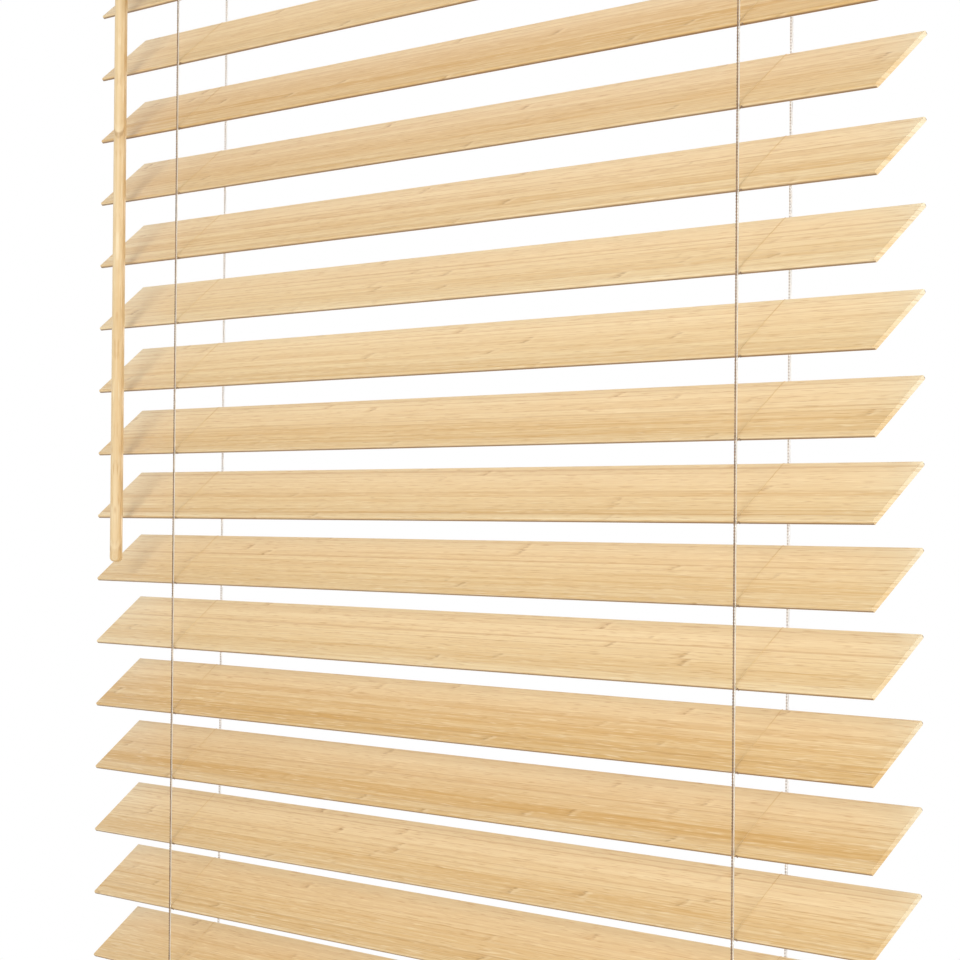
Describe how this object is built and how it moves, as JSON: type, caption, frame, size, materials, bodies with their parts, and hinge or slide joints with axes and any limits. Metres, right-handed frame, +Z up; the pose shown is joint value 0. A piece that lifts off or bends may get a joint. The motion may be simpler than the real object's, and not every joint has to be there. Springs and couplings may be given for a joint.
{
  "type": "bamboo venetian blind",
  "caption": "Venetian blind of flat bamboo slats on string ladders, with a headrail, wand tilt, sprung lift, valance and bottom rail.",
  "frame": {"origin": "centre of the ceiling screw holes, on the brackets' upper faces", "axes": "+X along the slats to the right as seen from the room, -Y towards the room, +Z up"},
  "size_m": [0.814, 0.0722, 0.8426],
  "materials": {
    "bamboo": "satin lacquer over natural bamboo",
    "enamelled_steel": "satin enamel",
    "cream_plastic": "moulded",
    "clear_plastic": "moulded, milky",
    "steel": "zinc plated",
    "ladder_string": "twisted polyester",
    "lift_cord": "braided polyester"
  },
  "bodies": {
    "headrail": {"headrail": "enamelled_steel", "end_cap_left": "cream_plastic", "end_cap_right": "cream_plastic", "bracket_left": "enamelled_steel", "bracket_right": "enamelled_steel", "bracket_gates": "enamelled_steel", "valance": "bamboo", "valance_clips": "clear_plastic", "cradles": "cream_plastic", "tilter_housing": "cream_plastic", "spring_housing": "cream_plastic", "lift_spring": "steel"},
    "slat_01": {"slat_01": "bamboo"},
    "front_ladder": {"front_strings": "ladder_string", "front_lift_cords": "lift_cord"},
    "rear_ladder": {"rear_string_top": "ladder_string", "rear_lift_cords": "lift_cord"},
    "ladder_step_02": {"rear_string_02": "ladder_string"},
    "slat_02": {"slat_02": "bamboo"},
    "ladder_step_03": {"rear_string_03": "ladder_string"},
    "slat_03": {"slat_03": "bamboo"},
    "ladder_step_04": {"rear_string_04": "ladder_string"},
    "slat_04": {"slat_04": "bamboo"},
    "ladder_step_05": {"rear_string_05": "ladder_string"},
    "slat_05": {"slat_05": "bamboo"},
    "ladder_step_06": {"rear_string_06": "ladder_string"},
    "slat_06": {"slat_06": "bamboo"},
    "ladder_step_07": {"rear_string_07": "ladder_string"},
    "slat_07": {"slat_07": "bamboo"},
    "ladder_step_08": {"rear_string_08": "ladder_string"},
    "slat_08": {"slat_08": "bamboo"},
    "ladder_step_09": {"rear_string_09": "ladder_string"},
    "slat_09": {"slat_09": "bamboo"},
    "ladder_step_10": {"rear_string_10": "ladder_string"},
    "slat_10": {"slat_10": "bamboo"},
    "ladder_step_11": {"rear_string_11": "ladder_string"},
    "slat_11": {"slat_11": "bamboo"},
    "ladder_step_12": {"rear_string_12": "ladder_string"},
    "slat_12": {"slat_12": "bamboo"},
    "ladder_step_13": {"rear_string_13": "ladder_string"},
    "slat_13": {"slat_13": "bamboo"},
    "ladder_step_14": {"rear_string_14": "ladder_string"},
    "slat_14": {"slat_14": "bamboo"},
    "ladder_step_15": {"rear_string_15": "ladder_string"},
    "slat_15": {"slat_15": "bamboo"},
    "ladder_step_16": {"rear_string_16": "ladder_string"},
    "slat_16": {"slat_16": "bamboo"},
    "ladder_step_17": {"rear_string_17": "ladder_string"},
    "bottom_rail": {"bottom_rail": "bamboo", "cord_plugs": "cream_plastic"},
    "tilt_rod": {"tilt_rod": "steel", "tilt_drums": "cream_plastic", "worm_wheel": "cream_plastic"},
    "lift_rod": {"lift_rod": "steel", "lift_spools": "cream_plastic"},
    "tilter_stem": {"tilter_stem": "cream_plastic"},
    "wand_socket": {"wand_socket": "clear_plastic"},
    "wand": {"wand": "bamboo"}
  },
  "joints": [
    {"name": "slat_tilt", "type": "hinge", "parent": "headrail", "child": "slat_01", "pos_m": [0, 0, -0.0812], "axis": [1, 0, 0], "range_deg": [-110.7, 29.3]},
    {"name": "front_ladder_swing", "type": "hinge", "parent": "slat_01", "child": "front_ladder", "pos_m": [0, -0.01789, -0.09659], "axis": [1, 0, 0], "range_deg": [-29.3, 110.7]},
    {"name": "rear_ladder_swing", "type": "hinge", "parent": "slat_01", "child": "rear_ladder", "pos_m": [0, 0.01789, -0.06581], "axis": [1, 0, 0], "range_deg": [-29.3, 110.7]},
    {"name": "lift_02", "type": "slide", "parent": "headrail", "child": "ladder_step_02", "axis": [0, 0, 1], "range_m": [0, 0.033]},
    {"name": "slat_tilt_02", "type": "hinge", "parent": "ladder_step_02", "child": "slat_02", "pos_m": [0, 0, -0.1272], "axis": [1, 0, 0], "range_deg": [-110.7, 29.3]},
    {"name": "lift_03", "type": "slide", "parent": "headrail", "child": "ladder_step_03", "axis": [0, 0, 1], "range_m": [0, 0.066]},
    {"name": "slat_tilt_03", "type": "hinge", "parent": "ladder_step_03", "child": "slat_03", "pos_m": [0, 0, -0.1732], "axis": [1, 0, 0], "range_deg": [-110.7, 29.3]},
    {"name": "lift_04", "type": "slide", "parent": "headrail", "child": "ladder_step_04", "axis": [0, 0, 1], "range_m": [0, 0.099]},
    {"name": "slat_tilt_04", "type": "hinge", "parent": "ladder_step_04", "child": "slat_04", "pos_m": [0, 0, -0.2192], "axis": [1, 0, 0], "range_deg": [-110.7, 29.3]},
    {"name": "lift_05", "type": "slide", "parent": "headrail", "child": "ladder_step_05", "axis": [0, 0, 1], "range_m": [0, 0.132]},
    {"name": "slat_tilt_05", "type": "hinge", "parent": "ladder_step_05", "child": "slat_05", "pos_m": [0, 0, -0.2652], "axis": [1, 0, 0], "range_deg": [-110.7, 29.3]},
    {"name": "lift_06", "type": "slide", "parent": "headrail", "child": "ladder_step_06", "axis": [0, 0, 1], "range_m": [0, 0.165]},
    {"name": "slat_tilt_06", "type": "hinge", "parent": "ladder_step_06", "child": "slat_06", "pos_m": [0, 0, -0.3112], "axis": [1, 0, 0], "range_deg": [-110.7, 29.3]},
    {"name": "lift_07", "type": "slide", "parent": "headrail", "child": "ladder_step_07", "axis": [0, 0, 1], "range_m": [0, 0.198]},
    {"name": "slat_tilt_07", "type": "hinge", "parent": "ladder_step_07", "child": "slat_07", "pos_m": [0, 0, -0.3572], "axis": [1, 0, 0], "range_deg": [-110.7, 29.3]},
    {"name": "lift_08", "type": "slide", "parent": "headrail", "child": "ladder_step_08", "axis": [0, 0, 1], "range_m": [0, 0.231]},
    {"name": "slat_tilt_08", "type": "hinge", "parent": "ladder_step_08", "child": "slat_08", "pos_m": [0, 0, -0.4032], "axis": [1, 0, 0], "range_deg": [-110.7, 29.3]},
    {"name": "lift_09", "type": "slide", "parent": "headrail", "child": "ladder_step_09", "axis": [0, 0, 1], "range_m": [0, 0.264]},
    {"name": "slat_tilt_09", "type": "hinge", "parent": "ladder_step_09", "child": "slat_09", "pos_m": [0, 0, -0.4492], "axis": [1, 0, 0], "range_deg": [-110.7, 29.3]},
    {"name": "lift_10", "type": "slide", "parent": "headrail", "child": "ladder_step_10", "axis": [0, 0, 1], "range_m": [0, 0.297]},
    {"name": "slat_tilt_10", "type": "hinge", "parent": "ladder_step_10", "child": "slat_10", "pos_m": [0, 0, -0.4952], "axis": [1, 0, 0], "range_deg": [-110.7, 29.3]},
    {"name": "lift_11", "type": "slide", "parent": "headrail", "child": "ladder_step_11", "axis": [0, 0, 1], "range_m": [0, 0.33]},
    {"name": "slat_tilt_11", "type": "hinge", "parent": "ladder_step_11", "child": "slat_11", "pos_m": [0, 0, -0.5412], "axis": [1, 0, 0], "range_deg": [-110.7, 29.3]},
    {"name": "lift_12", "type": "slide", "parent": "headrail", "child": "ladder_step_12", "axis": [0, 0, 1], "range_m": [0, 0.363]},
    {"name": "slat_tilt_12", "type": "hinge", "parent": "ladder_step_12", "child": "slat_12", "pos_m": [0, 0, -0.5872], "axis": [1, 0, 0], "range_deg": [-110.7, 29.3]},
    {"name": "lift_13", "type": "slide", "parent": "headrail", "child": "ladder_step_13", "axis": [0, 0, 1], "range_m": [0, 0.396]},
    {"name": "slat_tilt_13", "type": "hinge", "parent": "ladder_step_13", "child": "slat_13", "pos_m": [0, 0, -0.6332], "axis": [1, 0, 0], "range_deg": [-110.7, 29.3]},
    {"name": "lift_14", "type": "slide", "parent": "headrail", "child": "ladder_step_14", "axis": [0, 0, 1], "range_m": [0, 0.429]},
    {"name": "slat_tilt_14", "type": "hinge", "parent": "ladder_step_14", "child": "slat_14", "pos_m": [0, 0, -0.6792], "axis": [1, 0, 0], "range_deg": [-110.7, 29.3]},
    {"name": "lift_15", "type": "slide", "parent": "headrail", "child": "ladder_step_15", "axis": [0, 0, 1], "range_m": [0, 0.462]},
    {"name": "slat_tilt_15", "type": "hinge", "parent": "ladder_step_15", "child": "slat_15", "pos_m": [0, 0, -0.7252], "axis": [1, 0, 0], "range_deg": [-110.7, 29.3]},
    {"name": "lift_16", "type": "slide", "parent": "headrail", "child": "ladder_step_16", "axis": [0, 0, 1], "range_m": [0, 0.495]},
    {"name": "slat_tilt_16", "type": "hinge", "parent": "ladder_step_16", "child": "slat_16", "pos_m": [0, 0, -0.7712], "axis": [1, 0, 0], "range_deg": [-110.7, 29.3]},
    {"name": "lift", "type": "slide", "parent": "headrail", "child": "ladder_step_17", "axis": [0, 0, 1], "range_m": [0, 0.528], "deforming": ["front_strings", "rear_string_top", "front_lift_cords", "rear_lift_cords", "rear_string_02", "rear_string_03", "rear_string_04", "rear_string_05", "rear_string_06", "rear_string_07", "rear_string_08", "rear_string_09", "rear_string_10", "rear_string_11", "rear_string_12", "rear_string_13", "rear_string_14", "rear_string_15", "rear_string_16", "rear_string_17"]},
    {"name": "rail_tilt", "type": "hinge", "parent": "ladder_step_17", "child": "bottom_rail", "pos_m": [0, 0, -0.8172], "axis": [1, 0, 0], "range_deg": [-110.7, 29.3]},
    {"name": "tilt_rod_turn", "type": "hinge", "parent": "headrail", "child": "tilt_rod", "pos_m": [0, 0, -0.0362], "axis": [1, 0, 0], "range_deg": [-199.26, 52.74]},
    {"name": "stem_turn", "type": "hinge", "parent": "headrail", "child": "tilter_stem", "pos_m": [-0.345, -0.03383, -0.0622], "axis": [0, -0.5736, -0.8192], "range_deg": [-3586.68, 949.32]},
    {"name": "wand_swing", "type": "hinge", "parent": "headrail", "child": "wand_socket", "pos_m": [-0.345, -0.03383, -0.0622], "axis": [1, 0, 0], "range_deg": [-50, 0.25]},
    {"name": "wand_turn", "type": "hinge", "parent": "wand_socket", "child": "wand", "pos_m": [-0.345, -0.03383, -0.0622], "axis": [0, 0, -1], "range_deg": [-3586.68, 949.32]},
    {"name": "lift_rod_turn", "type": "hinge", "parent": "headrail", "child": "lift_rod", "pos_m": [0, 0, -0.0142], "axis": [1, 0, 0], "range_deg": [-3498, 0]}
  ],
  "couplings": [
    {"joint": "front_ladder_swing", "follows": "slat_tilt", "ratio": -1},
    {"joint": "rear_ladder_swing", "follows": "slat_tilt", "ratio": -1},
    {"joint": "lift_02", "follows": "lift", "ratio": 0.0625},
    {"joint": "slat_tilt_02", "follows": "slat_tilt", "ratio": 1},
    {"joint": "lift_03", "follows": "lift", "ratio": 0.125},
    {"joint": "slat_tilt_03", "follows": "slat_tilt", "ratio": 1},
    {"joint": "lift_04", "follows": "lift", "ratio": 0.1875},
    {"joint": "slat_tilt_04", "follows": "slat_tilt", "ratio": 1},
    {"joint": "lift_05", "follows": "lift", "ratio": 0.25},
    {"joint": "slat_tilt_05", "follows": "slat_tilt", "ratio": 1},
    {"joint": "lift_06", "follows": "lift", "ratio": 0.3125},
    {"joint": "slat_tilt_06", "follows": "slat_tilt", "ratio": 1},
    {"joint": "lift_07", "follows": "lift", "ratio": 0.375},
    {"joint": "slat_tilt_07", "follows": "slat_tilt", "ratio": 1},
    {"joint": "lift_08", "follows": "lift", "ratio": 0.4375},
    {"joint": "slat_tilt_08", "follows": "slat_tilt", "ratio": 1},
    {"joint": "lift_09", "follows": "lift", "ratio": 0.5},
    {"joint": "slat_tilt_09", "follows": "slat_tilt", "ratio": 1},
    {"joint": "lift_10", "follows": "lift", "ratio": 0.5625},
    {"joint": "slat_tilt_10", "follows": "slat_tilt", "ratio": 1},
    {"joint": "lift_11", "follows": "lift", "ratio": 0.625},
    {"joint": "slat_tilt_11", "follows": "slat_tilt", "ratio": 1},
    {"joint": "lift_12", "follows": "lift", "ratio": 0.6875},
    {"joint": "slat_tilt_12", "follows": "slat_tilt", "ratio": 1},
    {"joint": "lift_13", "follows": "lift", "ratio": 0.75},
    {"joint": "slat_tilt_13", "follows": "slat_tilt", "ratio": 1},
    {"joint": "lift_14", "follows": "lift", "ratio": 0.8125},
    {"joint": "slat_tilt_14", "follows": "slat_tilt", "ratio": 1},
    {"joint": "lift_15", "follows": "lift", "ratio": 0.875},
    {"joint": "slat_tilt_15", "follows": "slat_tilt", "ratio": 1},
    {"joint": "lift_16", "follows": "lift", "ratio": 0.9375},
    {"joint": "slat_tilt_16", "follows": "slat_tilt", "ratio": 1},
    {"joint": "rail_tilt", "follows": "slat_tilt", "ratio": 1},
    {"joint": "tilt_rod_turn", "follows": "slat_tilt", "ratio": 1.8},
    {"joint": "stem_turn", "follows": "slat_tilt", "ratio": 32.4},
    {"joint": "wand_turn", "follows": "slat_tilt", "ratio": 32.4},
    {"joint": "lift_rod_turn", "follows": "lift", "rad_per_m": -115.61}
  ]
}
